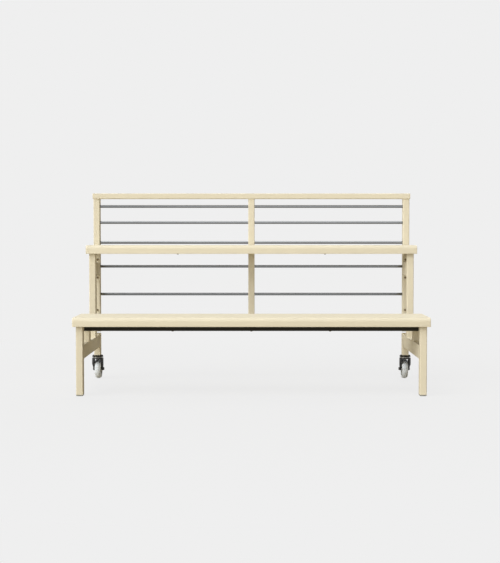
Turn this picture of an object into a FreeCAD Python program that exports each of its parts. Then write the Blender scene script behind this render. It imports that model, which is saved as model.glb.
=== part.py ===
"""Convertible picnic table bench: a seat on a wheeled base, and a lift-off frame with a table board.

Millimetres, +Z up, +X along the boards, -Y the side that the seat faces. Depths are measured from
the seat board's front edge, and save() moves each piece so that the origin lies on the floor under
the middle of the whole bench.
"""
import os

import FreeCAD, Part
from FreeCAD import Placement, Rotation, Vector

# Driving dimensions of the whole bench
BOARD_LENGTH = 1800.0
BOARD_HEIGHT = 46.0
SEAT_DEPTH = 340.0
SEAT_TOP = 397.0
TABLE_TOP = 755.0
TABLE_FRONT = 528.0
FRAME_HALF_WIDTH = 884.0
BACK_TOP = 1043.0
TOTAL_DEPTH = 860.0

# Rectangular steel tube, one width for the whole frame
TUBE_WIDTH = 35.0
POST_DEPTH = 50.0
RAIL_HEIGHT = 70.0
WALL = 2.0

# Where the posts stand, as depths of their front faces
FRONT_LEG_Y = 20.0
REAR_POST_Y = 287.0
TABLE_LEG_Y = 548.0
BACK_POST_Y = 745.0

# Heights of the rails and of the back frame
LOW_RAIL_TOP = 254.0
MID_RAIL_MIDDLE = 340.0
UPPER_RAIL_MIDDLE = 623.0
BACK_POST_BOTTOM = 272.0
TOP_RAIL_HEIGHT = 30.0
TOP_RAIL_DEPTH = 60.0
BOTTOM_RAIL_HEIGHT = 35.0

# Rods of the backrest: the gaps grow evenly from the top down
ROD_DIAMETER = 16.0
ROD_WALL = 1.2
ROD_COUNT = 5
FIRST_ROD = 971.0
FIRST_GAP = 90.0
GAP_GROWTH = 22.0
ROD_SEAT = 14.0

# Folded sheet boards
SHEET = 2.0
BOARD_ROLL = 20.0
BOARD_END = 3.0
LIP = 12.0
STIFFENER_X = 400.0
STIFFENER_WIDTH = 30.0
SCREW_RADIUS = 3.0

# Beams under the boards
BEAM_DEPTH = 30.0
TABLE_BEAM_HEIGHT = 40.0

# Feet, spigots, plugs and caps
GLIDE_HEIGHT = 7.0
GLIDE_DRAFT = 3.0
GLIDE_PLUG_WALL = 2.5
PLUG_LENGTH = 22.0
PLUG_PLAY = 0.5
SPIGOT_HEIGHT = 70.0
SPIGOT_TAPER = 12.0
SPIGOT_NARROWING = 4.0
SLIDING_GAP = 0.3
CAP_HEIGHT = 5.0
CAP_DOME = 3.5
BUFFER_BOTTOM = 268.0
BUFFER_COVER = 2.0
BUFFER_RADIUS = 7.0
BUFFER_PLUG = 10.0
END_CAP = 3.5
END_CAP_EDGE = 2.0

# Bolted joint between the side rails and the back posts
FLANGE_THICKNESS = 6.0
FLANGE_HEIGHT = 140.0
BOLT_OFFSET = 50.5
BOLT_INSET = 4.5
BOLT_RADIUS = 3.0
BOLT_HEAD_HEIGHT = 4.5
BOLT_HEAD_ACROSS = 10.0
BOLT_LENGTH = 16.0
BOLT_COLLAR = 1.2
HOLE_PLAY = 0.1

# Angle bracket between the table board and the middle post
BRACKET_THICKNESS = 3.0
BRACKET_WIDTH = 30.0
BRACKET_DROP = 24.0
BRACKET_REACH = 34.0

# Swivel casters
WHEEL_DIAMETER = 108.0
TYRE_WIDTH = 33.0
TYRE_FOOT = 39.0
TRAIL = 36.0
CASTER_TOP = 136.0
PLATE_HEIGHT = 5.0
KINGPIN_RADIUS = 6.0
CUP_HEIGHT = 11.5
CUP_RADIUS = 31.0
RACE_HEIGHT = 5.0
RACE_RADIUS = 25.0
RACE_GAP = 0.3
CROWN_HEIGHT = 4.7
CROWN_RADIUS = 32.0
AXLE_RADIUS = 5.0
AXLE_ACROSS = 16.0
AXLE_HEAD_HEIGHT = 5.5
RUNNING_GAP = 0.05
ARM_GAP = 19.0
ARM_FACE = 25.5

SIDES = (("left", -1), ("right", 1))
POST_X = FRAME_HALF_WIDTH - TUBE_WIDTH / 2
BOLT_X = POST_X - BOLT_INSET
INNER_HALF_WIDTH = FRAME_HALF_WIDTH - TUBE_WIDTH
TABLE_DEPTH = BACK_POST_Y - TABLE_FRONT
BACK_Y = BACK_POST_Y + POST_DEPTH / 2
TOP_RAIL_BOTTOM = BACK_TOP - TOP_RAIL_HEIGHT
FLANGE_Y = BACK_POST_Y - FLANGE_THICKNESS
BOARD_GAP = 1.0
CROWN_TOP = CASTER_TOP - CUP_HEIGHT - RACE_HEIGHT - RACE_GAP
CROWN_BOTTOM = CROWN_TOP - CROWN_HEIGHT
ROD_HEIGHTS = [
    FIRST_ROD - FIRST_GAP * step - GAP_GROWTH * step * (step - 1) / 2 for step in range(ROD_COUNT)
]
TOUCH = 0.1
UP = Vector(0, 0, 1)
ALONG_X = Vector(1, 0, 0)
ALONG_Y = Vector(0, 1, 0)


# Files and groups
def save(name, *solids):
    """Writes one piece, or a group of like pieces, as a named file in the bench's own frame."""
    for solid in solids:
        if not solid.isValid() or solid.Volume <= 0:
            raise ValueError("bad solid in " + name)
    shape = solids[0].copy() if len(solids) == 1 else Part.makeCompound([solid.copy() for solid in solids])
    shape.translate(Vector(0, -TOTAL_DEPTH / 2, 0))
    shape.exportStep("parts/" + name + ".step")


# Rounded outlines and tubes
def rounded_outline(width, height, radius):
    """Closed outline in the XY plane, centred on the origin, with round corners."""
    x, y = width / 2 - radius, height / 2 - radius
    corners = [(x, y, 0), (-x, y, 90), (-x, -y, 180), (x, -y, 270)]
    arcs = [Part.makeCircle(radius, Vector(cx, cy, 0), UP, start, start + 90) for cx, cy, start in corners]
    edges = []
    for arc, following in zip(arcs, arcs[1:] + arcs[:1]):
        edges.append(arc)
        edges.append(Part.makeLine(arc.Vertexes[-1].Point, following.Vertexes[0].Point))
    return Part.Wire(edges)


def rounded_block(width, depth, height, radius):
    """Upright block with round corners, standing on the origin."""
    return Part.Face(rounded_outline(width, depth, radius)).extrude(UP * height)


def tube(width, depth, length):
    """Upright rectangular tube, open at both ends, standing on the origin."""
    outer = rounded_block(width, depth, length, 2 * WALL)
    inner = rounded_block(width - 2 * WALL, depth - 2 * WALL, length, WALL)
    return outer.cut(inner)


def post(x, front, bottom, top):
    """Upright tube whose front face is at the given depth."""
    shape = tube(TUBE_WIDTH, POST_DEPTH, top - bottom)
    shape.translate(Vector(x, front + POST_DEPTH / 2, bottom))
    return shape


def bore_plug(width, depth, length):
    """Plug that fills the bore of a tube of the given outer size, standing on the origin."""
    loss = 2 * (WALL + PLUG_PLAY)
    return rounded_block(width - loss, depth - loss, length, WALL)


def side_rail(x, front, back, bottom, height):
    """Tube that runs from front to back at one side."""
    shape = tube(TUBE_WIDTH, height, back - front)
    shape.Placement = Placement(Vector(x, front, bottom + height / 2), Rotation(ALONG_X, -90))
    return shape


def cross_rail(half_length, front, depth, bottom, height):
    """Tube that runs along the boards, centred on the bench."""
    shape = tube(height, depth, 2 * half_length)
    middle = Vector(-half_length, front + depth / 2, bottom + height / 2)
    shape.Placement = Placement(middle, Rotation(ALONG_Y, 90))
    return shape


def rod_hole(x, width, height):
    """Cutter for a rod through a post at the given height."""
    start = Vector(x - width / 2, BACK_Y, height)
    return Part.makeCylinder(ROD_DIAMETER / 2 + HOLE_PLAY, width, start, ALONG_X)


# Turned pieces
def turned(points, axis=UP):
    """Solid of revolution about Z, or about X, from (radius, height) points of its half section."""
    along_x = axis is ALONG_X
    corners = [Vector(h, 0, r) if along_x else Vector(r, 0, h) for r, h in points]
    face = Part.Face(Part.makePolygon(corners + corners[:1]))
    return face.revolve(Vector(0, 0, 0), axis, 360)


def hexagon(across, height):
    """Hexagonal head or nut standing on the origin."""
    radius = across / 3 ** 0.5
    spokes = [Rotation(UP, 60 * step).multVec(Vector(radius, 0, 0)) for step in range(7)]
    return Part.Face(Part.makePolygon(spokes)).extrude(UP * height)


def hex_bolt(length, radius=BOLT_RADIUS, across=BOLT_HEAD_ACROSS, head=BOLT_HEAD_HEIGHT):
    """Bolt along +Z with the underside of its head on the origin and a flange under the hexagon."""
    collar_radius = 0.62 * across
    collar = Part.makeCylinder(collar_radius, BOLT_COLLAR, Vector(0, 0, -BOLT_COLLAR))
    top = hexagon(across, head - BOLT_COLLAR)
    top.translate(Vector(0, 0, -head))
    shank = Part.makeCylinder(radius, length)
    return collar.fuse([top, shank]).removeSplitter()


def facing(shape, position, direction):
    """Turns a piece made along +Z to the given direction and puts it in its place."""
    shape.Placement = Placement(position, Rotation(UP, direction)).multiply(shape.Placement)
    return shape


# Base: legs, posts and rails under the seat
def foot_glide(x):
    """Moulded glide: a slightly drafted pad under the tube and a hollow plug that fits its bore."""
    sole = rounded_outline(TUBE_WIDTH - GLIDE_DRAFT, POST_DEPTH - GLIDE_DRAFT, 2 * WALL)
    rim = rounded_outline(TUBE_WIDTH, POST_DEPTH, 2 * WALL)
    rim.translate(UP * GLIDE_HEIGHT)
    pad = Part.makeLoft([sole, rim], True)
    plug = bore_plug(TUBE_WIDTH, POST_DEPTH, PLUG_LENGTH)
    loss = 2 * GLIDE_PLUG_WALL
    plug = plug.cut(bore_plug(TUBE_WIDTH - loss, POST_DEPTH - loss, PLUG_LENGTH))
    plug.translate(UP * GLIDE_HEIGHT)
    glide = pad.fuse(plug)
    glide.translate(Vector(x, FRONT_LEG_Y + POST_DEPTH / 2, 0))
    return glide


def spigot(x):
    """Locating spigot on the low rail: a close fit in the table leg, with a tapered nose."""
    width = TUBE_WIDTH - 2 * WALL - 2 * SLIDING_GAP
    depth = POST_DEPTH - 2 * WALL - 2 * SLIDING_GAP
    body = rounded_block(width, depth, SPIGOT_HEIGHT - SPIGOT_TAPER, WALL)
    shoulder = rounded_outline(width, depth, WALL)
    nose = rounded_outline(width - 2 * SPIGOT_NARROWING, depth - 2 * SPIGOT_NARROWING, WALL)
    shoulder.translate(UP * (SPIGOT_HEIGHT - SPIGOT_TAPER))
    nose.translate(UP * SPIGOT_HEIGHT)
    shape = body.fuse(Part.makeLoft([shoulder, nose], True)).removeSplitter()
    shape.translate(Vector(x, TABLE_LEG_Y + POST_DEPTH / 2, LOW_RAIL_TOP))
    return shape


def caster_post(x):
    """Short post over a caster, closed below by a welded plate that takes the caster's bolt."""
    shape = post(x, BACK_POST_Y, CASTER_TOP + PLATE_HEIGHT, LOW_RAIL_TOP)
    plate = rounded_block(TUBE_WIDTH, POST_DEPTH, PLATE_HEIGHT, 2 * WALL)
    plate = plate.cut(Part.makeCylinder(KINGPIN_RADIUS + HOLE_PLAY, PLATE_HEIGHT))
    plate.translate(Vector(x, BACK_Y, CASTER_TOP))
    return shape.fuse(plate)


def caster_post_cap(x):
    """Domed cap that closes the top of a caster post, with a plug in the tube."""
    dome = rounded_block(TUBE_WIDTH, POST_DEPTH, CAP_HEIGHT, 2 * WALL)
    rim = [edge for edge in dome.Edges if edge.BoundBox.ZMin > CAP_HEIGHT - TOUCH]
    dome = dome.makeFillet(CAP_DOME, rim)
    plug = bore_plug(TUBE_WIDTH, POST_DEPTH, PLUG_LENGTH)
    plug.translate(UP * -PLUG_LENGTH)
    cap = dome.fuse(plug)
    cap.translate(Vector(x, BACK_Y, LOW_RAIL_TOP))
    return cap


# Boards: folded sheet trays, rolled over along the front and the back, with a return lip all round below
def board_block(depth, inset, bottom, top):
    """Filled outline of a board, drawn in by the inset, with rolled long edges and eased ends."""
    length, width = BOARD_LENGTH - 2 * inset, depth - 2 * inset
    block = Part.makeBox(length, width, top - bottom, Vector(-length / 2, -width / 2, bottom))
    upper = [edge for edge in block.Edges if edge.BoundBox.ZMin > top - TOUCH]
    block = block.makeFillet(BOARD_ROLL - inset, [edge for edge in upper if edge.BoundBox.YLength < TOUCH])
    across = [edge for edge in block.Edges if edge.BoundBox.XLength < TOUCH]
    return block.makeFillet(BOARD_END - inset, [edge for edge in across if edge.BoundBox.ZMax > bottom + TOUCH])


def board(front, depth, top):
    """Tray of folded sheet: skin, sides and return lip."""
    bottom = top - BOARD_HEIGHT
    skin = board_block(depth, 0, bottom, top)
    hollow = board_block(depth, SHEET, bottom + SHEET, top - SHEET)
    mouth = rounded_block(BOARD_LENGTH - 2 * LIP, depth - 2 * LIP, 2 * SHEET, SHEET)
    mouth.translate(UP * (bottom - SHEET / 2))
    tray = skin.cut(hollow).cut(mouth)
    tray.translate(ALONG_Y * (front + depth / 2))
    return tray


def seat_board():
    """Seat tray, its rear lip notched round the two rear posts."""
    tray = board(0, SEAT_DEPTH, SEAT_TOP)
    notch = Vector(TUBE_WIDTH + 2 * BOARD_GAP, POST_DEPTH + BOARD_GAP, BOARD_HEIGHT / 2)
    for name, side in SIDES:
        corner = Vector(side * POST_X - notch.x / 2, REAR_POST_Y, SEAT_TOP - BOARD_HEIGHT - BOARD_GAP)
        tray = tray.cut(Part.makeBox(notch.x, notch.y, notch.z, corner))
    return tray


def stiffener(x, front, depth, top):
    """Folded channel across a tray, from its lip to its skin, with cut-off upper ends."""
    low, high = top - BOARD_HEIGHT + SHEET, top - SHEET
    near, far = front + SHEET + BOARD_GAP, front + depth - SHEET - BOARD_GAP
    corners = [
        Vector(x, near, low),
        Vector(x, far, low),
        Vector(x, far, high - BOARD_ROLL),
        Vector(x, far - BOARD_ROLL, high),
        Vector(x, near + BOARD_ROLL, high),
        Vector(x, near, high - BOARD_ROLL),
    ]
    web = Part.Face(Part.makePolygon(corners + corners[:1])).extrude(ALONG_X * STIFFENER_WIDTH)
    web.translate(ALONG_X * (-STIFFENER_WIDTH / 2))
    hollow = Part.makeBox(STIFFENER_WIDTH, depth, high - low - 2 * SHEET)
    hollow.translate(Vector(x - STIFFENER_WIDTH / 2 + SHEET, front, low + SHEET))
    return web.cut(hollow)


def screw_hole(x, y, height):
    """Cutter for a screw through the sheet or wall just above the given height."""
    return Part.makeCylinder(SCREW_RADIUS + HOLE_PLAY, 2 * SHEET, Vector(x, y, height - SHEET / 2))


def lip_screw(x, y, height):
    """Button-head screw that comes up through a board's lip or a beam from below."""
    crown_radius, head_radius = 3.5, 6.0
    head_height, rim_height = 3.2, 1.4
    screw = turned([
        (0, -head_height), (crown_radius, -head_height), (head_radius, -rim_height), (head_radius, 0),
        (SCREW_RADIUS, 0), (SCREW_RADIUS, SHEET), (0, SHEET),
    ])
    screw.translate(Vector(x, y, height))
    return screw


# Back frame: posts, rails, rods and the bolted flanges
def back_post(side):
    """Side post, drilled on its inner wall for the rods and in front for the flange bolts."""
    x = side * POST_X
    shape = post(x, BACK_POST_Y, BACK_POST_BOTTOM, TOP_RAIL_BOTTOM)
    inner = side * INNER_HALF_WIDTH
    holes = [rod_hole(inner, 4 * WALL, height) for height in ROD_HEIGHTS]
    return shape.cut(holes + [flange_hole(side, height) for height in bolt_heights()])


def centre_post():
    """Middle post, drilled right through for the rods."""
    bottom = BACK_POST_BOTTOM + BOTTOM_RAIL_HEIGHT
    shape = post(0, BACK_POST_Y, bottom, TOP_RAIL_BOTTOM)
    return shape.cut([rod_hole(0, TUBE_WIDTH + 2 * WALL, height) for height in ROD_HEIGHTS])


def rod(height):
    """Stainless tube from one side post to the other, through the middle post."""
    half_length = INNER_HALF_WIDTH + ROD_SEAT
    start = Vector(-half_length, BACK_Y, height)
    outer = Part.makeCylinder(ROD_DIAMETER / 2, 2 * half_length, start, ALONG_X)
    return outer.cut(Part.makeCylinder(ROD_DIAMETER / 2 - ROD_WALL, 2 * half_length, start, ALONG_X))


def bolt_heights():
    """Heights of the four bolts in each side post."""
    middles = (UPPER_RAIL_MIDDLE, MID_RAIL_MIDDLE)
    return [middle + sign * BOLT_OFFSET for middle in middles for sign in (1, -1)]


def flange_hole(side, height):
    """Cutter for one bolt through a flange and the front wall of its post."""
    start = Vector(side * BOLT_X, FLANGE_Y, height)
    return Part.makeCylinder(BOLT_RADIUS + HOLE_PLAY, FLANGE_THICKNESS + 4 * WALL, start, ALONG_Y)


def flange_plate(side, middle):
    """Plate welded to the back end of a side rail, taller than the rail, with a bolt at each end."""
    plate = rounded_block(TUBE_WIDTH, FLANGE_HEIGHT, FLANGE_THICKNESS, 3 * WALL)
    plate = facing(plate, Vector(side * POST_X, FLANGE_Y, middle), ALONG_Y)
    return plate.cut([flange_hole(side, middle + sign * BOLT_OFFSET) for sign in (1, -1)])


def post_buffer(x):
    """Black plug in the lower end of a side post, with a short round nose over the caster post."""
    plug = bore_plug(TUBE_WIDTH, POST_DEPTH, BUFFER_PLUG)
    cover = rounded_block(TUBE_WIDTH, POST_DEPTH, BUFFER_COVER, 2 * WALL)
    cover.translate(UP * -BUFFER_COVER)
    reach = BACK_POST_BOTTOM - BUFFER_BOTTOM
    edge = reach - BUFFER_COVER
    nose = turned([(0, 0), (BUFFER_RADIUS, 0), (BUFFER_RADIUS, -BUFFER_COVER),
                   (BUFFER_RADIUS - edge, -reach), (0, -reach)])
    buffer = plug.fuse([cover, nose])
    buffer.translate(Vector(x, BACK_Y, BACK_POST_BOTTOM))
    return buffer


def top_rail_cap(side):
    """Cap on one end of the top rail: a cushion-edged plate with a plug in the tube."""
    plate = rounded_block(TOP_RAIL_HEIGHT, TOP_RAIL_DEPTH, END_CAP, 2 * WALL)
    rim = [edge for edge in plate.Edges if edge.BoundBox.ZMin > END_CAP - TOUCH]
    plate = plate.makeFillet(END_CAP_EDGE, rim)
    plug = bore_plug(TOP_RAIL_HEIGHT, TOP_RAIL_DEPTH, PLUG_LENGTH)
    plug.translate(UP * -PLUG_LENGTH)
    middle = Vector(side * FRAME_HALF_WIDTH, BACK_Y, TOP_RAIL_BOTTOM + TOP_RAIL_HEIGHT / 2)
    return facing(plate.fuse(plug), middle, ALONG_X * side)


def centre_bracket():
    """Angle that ties the table board's rear lip to the middle post."""
    thick, drop, reach = BRACKET_THICKNESS, BRACKET_DROP, BRACKET_REACH
    corners = [(0, 0), (-reach, 0), (-reach, -thick), (-thick, -thick), (-thick, -drop), (0, -drop)]
    outline = [Vector(-BRACKET_WIDTH / 2, BACK_POST_Y + y, TABLE_BOTTOM + z) for y, z in corners]
    return Part.Face(Part.makePolygon(outline + outline[:1])).extrude(ALONG_X * BRACKET_WIDTH)


# Casters, made about their swivel axis with the floor at zero
def on_caster(shape, side):
    """Puts a piece made about the swivel axis under its caster post."""
    shape.translate(Vector(side * POST_X, BACK_Y, 0))
    return shape


def caster_cup():
    """Pressed cup that seats against the post's plate."""
    low = CASTER_TOP - CUP_HEIGHT
    bore, edge = KINGPIN_RADIUS + HOLE_PLAY, 3.0
    return turned([
        (bore, low), (CUP_RADIUS - edge, low), (CUP_RADIUS, low + edge), (CUP_RADIUS, CASTER_TOP - 2 * edge),
        (CUP_RADIUS - edge, CASTER_TOP), (bore, CASTER_TOP),
    ])


def bearing_ring():
    """Steel race between the cup and the fork."""
    high = CASTER_TOP - CUP_HEIGHT
    low = high - RACE_HEIGHT
    bore, edge = KINGPIN_RADIUS + HOLE_PLAY, 1.0
    return turned([
        (bore, low), (RACE_RADIUS - edge, low), (RACE_RADIUS, low + edge), (RACE_RADIUS, high - edge),
        (RACE_RADIUS - edge, high), (bore, high),
    ])


def kingpin():
    """Bolt up through fork, race and plate, with its head under the crown and a nut in the post."""
    head_across, head_height = 17.0, 6.0
    nut_across, nut_height, thread_end = 19.0, 10.0, 9.0
    head_top = CROWN_BOTTOM - RACE_GAP
    head = hexagon(head_across, head_height)
    head.translate(UP * (head_top - head_height))
    nut_bottom = CASTER_TOP + PLATE_HEIGHT
    shank = Part.makeCylinder(KINGPIN_RADIUS, nut_bottom + nut_height + thread_end - head_top, UP * head_top)
    nut = hexagon(nut_across, nut_height)
    nut.translate(UP * nut_bottom)
    return head.fuse([shank, nut]).removeSplitter()


def fork_outline(arm_end):
    """Side view of the fork: a thin crown, and arms that sweep back and narrow down to the axle."""
    axle_height = WHEEL_DIAMETER / 2
    front = Vector(0, -CROWN_RADIUS, CROWN_TOP)
    rear = Vector(0, CROWN_RADIUS, CROWN_TOP)
    rear_of_axle = Vector(0, TRAIL + arm_end, axle_height)
    below_axle = Vector(0, TRAIL, axle_height - arm_end)
    front_of_axle = Vector(0, TRAIL - arm_end, axle_height)
    under_front = Vector(0, -CROWN_RADIUS, CROWN_BOTTOM)
    return Part.Wire([
        Part.makeLine(front, rear),
        Part.makeLine(rear, rear_of_axle),
        Part.Arc(rear_of_axle, below_axle, front_of_axle).toShape(),
        Part.makeLine(front_of_axle, under_front),
        Part.makeLine(under_front, front),
    ])


def fork_plan(tail, half_tail):
    """Plan of the fork: round in front, drawn in towards the axle."""
    right, left = Vector(CROWN_RADIUS, 0, 0), Vector(-CROWN_RADIUS, 0, 0)
    right_tail, left_tail = Vector(half_tail, tail, 0), Vector(-half_tail, tail, 0)
    return Part.Wire([
        Part.Arc(left, Vector(0, -CROWN_RADIUS, 0), right).toShape(),
        Part.makeLine(right, right_tail),
        Part.makeLine(right_tail, left_tail),
        Part.makeLine(left_tail, left),
    ])


def fork():
    """Caster fork: crown and arms, with bosses and spot faces for the axle."""
    arm_end, half_tail, boss_radius, spot_depth = 8.0, 24.0, 10.0, 10.0
    side_view = Part.Face(fork_outline(arm_end)).extrude(ALONG_X * 2 * CROWN_RADIUS)
    side_view.translate(ALONG_X * -CROWN_RADIUS)
    body = side_view.common(Part.Face(fork_plan(TRAIL + arm_end, half_tail)).extrude(UP * CASTER_TOP))
    slot_corner = Vector(-ARM_GAP, -2 * CROWN_RADIUS, 0)
    body = body.cut(Part.makeBox(2 * ARM_GAP, 4 * CROWN_RADIUS, CROWN_BOTTOM, slot_corner))

    def round_axle(radius, start, length):
        return Part.makeCylinder(radius, length, Vector(start, TRAIL, WHEEL_DIAMETER / 2), ALONG_X)

    arm = ARM_FACE - ARM_GAP
    bosses = [round_axle(boss_radius, start, arm) for start in (ARM_GAP, -ARM_FACE)]
    spot_faces = [round_axle(boss_radius, start, spot_depth) for start in (ARM_FACE, -ARM_FACE - spot_depth)]
    axle_hole = round_axle(AXLE_RADIUS + RUNNING_GAP, -2 * ARM_FACE, 4 * ARM_FACE)
    pin_hole = Part.makeCylinder(KINGPIN_RADIUS + RUNNING_GAP, CASTER_TOP)
    return body.fuse(bosses).cut(spot_faces + [axle_hole, pin_hole]).removeSplitter()


def axle(side):
    """Axle bolt across the fork, its head on the outer side of the bench and its nut on the inner."""
    nut_height, thread_end = 6.0, 1.0
    bolt = hex_bolt(2 * ARM_FACE + nut_height + thread_end, AXLE_RADIUS, AXLE_ACROSS, AXLE_HEAD_HEIGHT)
    nut = hexagon(AXLE_ACROSS, nut_height)
    nut.translate(UP * 2 * ARM_FACE)
    head = Vector(side * ARM_FACE, TRAIL, WHEEL_DIAMETER / 2)
    return facing(bolt.fuse(nut).removeSplitter(), head, ALONG_X * -side)


def wheel_hub():
    """Moulded wheel centre: boss, thin web, rim and six ribs on each face."""
    boss, rim_inner, rim_outer = 11.0, TYRE_FOOT - 4.0, TYRE_FOOT
    half_boss, half_rim, half_web = ARM_GAP - 1.5, TYRE_WIDTH / 2 - 3.0, 3.0
    rib_count, rib_width, rib_sink, bite = 6, 3.0, 2.0, 1.0
    bore = AXLE_RADIUS + RUNNING_GAP
    one_half = [
        (rim_outer, half_rim), (rim_inner, half_rim), (rim_inner, half_web),
        (boss, half_web), (boss, half_boss), (bore, half_boss),
    ]
    half_section = one_half + [(radius, -along) for radius, along in reversed(one_half)]
    half_rib = half_rim - rib_sink
    ribs = []
    for step in range(rib_count):
        corner = Vector(-half_rib, -rib_width / 2, boss - bite)
        rib = Part.makeBox(2 * half_rib, rib_width, rim_inner - boss + 2 * bite, corner)
        rib.rotate(Vector(0, 0, 0), ALONG_X, 360 / rib_count * step)
        ribs.append(rib)
    hub = turned(half_section, ALONG_X).fuse(ribs).removeSplitter()
    hub.translate(Vector(0, TRAIL, WHEEL_DIAMETER / 2))
    return hub


def wheel_tyre():
    """Soft grey tread with a rounded crown, moulded round the rim."""
    crown_rise, foot_inset = 7.0, 3.0
    outer, half = WHEEL_DIAMETER / 2, TYRE_WIDTH / 2
    shoulder, foot = outer - crown_rise, half - foot_inset
    left_foot, left = Vector(-foot, 0, TYRE_FOOT), Vector(-half, 0, shoulder)
    right, right_foot = Vector(half, 0, shoulder), Vector(foot, 0, TYRE_FOOT)
    outline = Part.Wire([
        Part.makeLine(left_foot, left),
        Part.Arc(left, Vector(0, 0, outer), right).toShape(),
        Part.makeLine(right, right_foot),
        Part.makeLine(right_foot, left_foot),
    ])
    tyre = Part.Face(outline).revolve(Vector(0, 0, 0), ALONG_X, 360)
    tyre.translate(Vector(0, TRAIL, outer))
    return tyre


# The base of the bench
os.makedirs("parts", exist_ok=True)
SEAT_FRAME_TOP = SEAT_TOP - SHEET - BOARD_GAP
TABLE_FRAME_TOP = TABLE_TOP - SHEET - BOARD_GAP
LOW_RAIL_BOTTOM = LOW_RAIL_TOP - RAIL_HEIGHT
LEG_BACK = FRONT_LEG_Y + POST_DEPTH
REAR_POST_TOP = SEAT_TOP - BOARD_ROLL - BOARD_GAP
SEAT_BEARER_BOTTOM = SEAT_FRAME_TOP - RAIL_HEIGHT
for name, side in SIDES:
    x = side * POST_X
    save("front_leg_" + name, post(x, FRONT_LEG_Y, GLIDE_HEIGHT, SEAT_FRAME_TOP))
    save("foot_glide_" + name, foot_glide(x))
    save("seat_rear_post_" + name, post(x, REAR_POST_Y, LOW_RAIL_TOP, REAR_POST_TOP))
    save("low_rail_" + name, side_rail(x, LEG_BACK, BACK_POST_Y, LOW_RAIL_BOTTOM, RAIL_HEIGHT))
    save("seat_bearer_" + name, side_rail(x, LEG_BACK, REAR_POST_Y, SEAT_BEARER_BOTTOM, RAIL_HEIGHT))
    save("caster_post_" + name, caster_post(x))
    save("spigot_" + name, spigot(x))
save("caster_post_caps", *[caster_post_cap(side * POST_X) for name, side in SIDES])

# The seat
SEAT_UNDERSIDE = SEAT_TOP - SHEET
BEAM_Y = LEG_BACK + WALL
SEAT_BEAM_BOTTOM = SEAT_UNDERSIDE - RAIL_HEIGHT
save("seat_board", seat_board())
SEAT_SCREWS = [(x, BEAM_Y + BEAM_DEPTH / 2, SEAT_BEAM_BOTTOM) for x in (-STIFFENER_X, 0, STIFFENER_X)]
beam = cross_rail(INNER_HALF_WIDTH, BEAM_Y, BEAM_DEPTH, SEAT_BEAM_BOTTOM, RAIL_HEIGHT)
save("seat_beam", beam.cut([screw_hole(*place) for place in SEAT_SCREWS]))
save("seat_screws", *[lip_screw(*place) for place in SEAT_SCREWS])
BEAM_BACK = BEAM_Y + BEAM_DEPTH
save("seat_stiffeners", *[
    stiffener(x, BEAM_BACK, SEAT_DEPTH - BEAM_BACK, SEAT_TOP) for x in (-STIFFENER_X, 0, STIFFENER_X)
])

# The table frame
TABLE_LEG_BACK = TABLE_LEG_Y + POST_DEPTH
for name, side in SIDES:
    x = side * POST_X
    save("table_leg_" + name, post(x, TABLE_LEG_Y, LOW_RAIL_TOP, TABLE_FRAME_TOP))
    save("table_bearer_" + name, side_rail(
        x, TABLE_LEG_BACK, BACK_POST_Y - SHEET - BOARD_ROLL, TABLE_FRAME_TOP - TUBE_WIDTH, TUBE_WIDTH))
    for level, middle in (("upper", UPPER_RAIL_MIDDLE), ("mid", MID_RAIL_MIDDLE)):
        rail = side_rail(x, TABLE_LEG_BACK, FLANGE_Y, middle - RAIL_HEIGHT / 2, RAIL_HEIGHT)
        save(level + "_side_rail_" + name, rail)
    save("flange_plates_" + name, flange_plate(side, UPPER_RAIL_MIDDLE), flange_plate(side, MID_RAIL_MIDDLE))
    save("back_post_" + name, back_post(side))
save("centre_post", centre_post())
save("post_buffers", *[post_buffer(side * POST_X) for name, side in SIDES])
save("top_rail", cross_rail(
    FRAME_HALF_WIDTH, BACK_Y - TOP_RAIL_DEPTH / 2, TOP_RAIL_DEPTH, TOP_RAIL_BOTTOM, TOP_RAIL_HEIGHT))
save("top_rail_caps", *[top_rail_cap(side) for name, side in SIDES])
save("bottom_rail", cross_rail(
    INNER_HALF_WIDTH, BACK_POST_Y, POST_DEPTH, BACK_POST_BOTTOM, BOTTOM_RAIL_HEIGHT))
for number, height in enumerate(ROD_HEIGHTS, start=1):
    save("rod_" + str(number), rod(height))
bolts = [
    facing(hex_bolt(BOLT_LENGTH), Vector(side * BOLT_X, FLANGE_Y, height), ALONG_Y)
    for name, side in SIDES for height in bolt_heights()
]
save("frame_bolts", *bolts)

# The table board
TABLE_BOTTOM = TABLE_TOP - BOARD_HEIGHT
TABLE_SCREWS = [(x, TABLE_FRONT + LIP / 2, TABLE_BOTTOM) for x in (-STIFFENER_X, STIFFENER_X)]
save("centre_bracket", centre_bracket())
tray = board(TABLE_FRONT, TABLE_DEPTH, TABLE_TOP)
save("table_board", tray.cut([screw_hole(*place) for place in TABLE_SCREWS]))
save("table_screws", *[lip_screw(*place) for place in TABLE_SCREWS])
TABLE_UNDERSIDE = TABLE_TOP - SHEET
TABLE_BEAM_BOTTOM = TABLE_UNDERSIDE - TABLE_BEAM_HEIGHT
save("table_beam", cross_rail(
    INNER_HALF_WIDTH, TABLE_LEG_BACK, BEAM_DEPTH, TABLE_BEAM_BOTTOM, TABLE_BEAM_HEIGHT))
save("table_stiffeners", *[
    stiffener(x, TABLE_FRONT, TABLE_LEG_BACK - TABLE_FRONT, TABLE_TOP) for x in (-STIFFENER_X, STIFFENER_X)
])

# The casters
save("bearing_rings", *[on_caster(bearing_ring(), side) for name, side in SIDES])
save("kingpins", *[on_caster(kingpin(), side) for name, side in SIDES])
for name, side in SIDES:
    save("caster_cup_" + name, on_caster(caster_cup(), side))
    save("caster_fork_" + name, on_caster(fork(), side))
    save("caster_axle_" + name, on_caster(axle(side), side))
    save("wheel_hub_" + name, on_caster(wheel_hub(), side))
    save("wheel_tyre_" + name, on_caster(wheel_tyre(), side))
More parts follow.
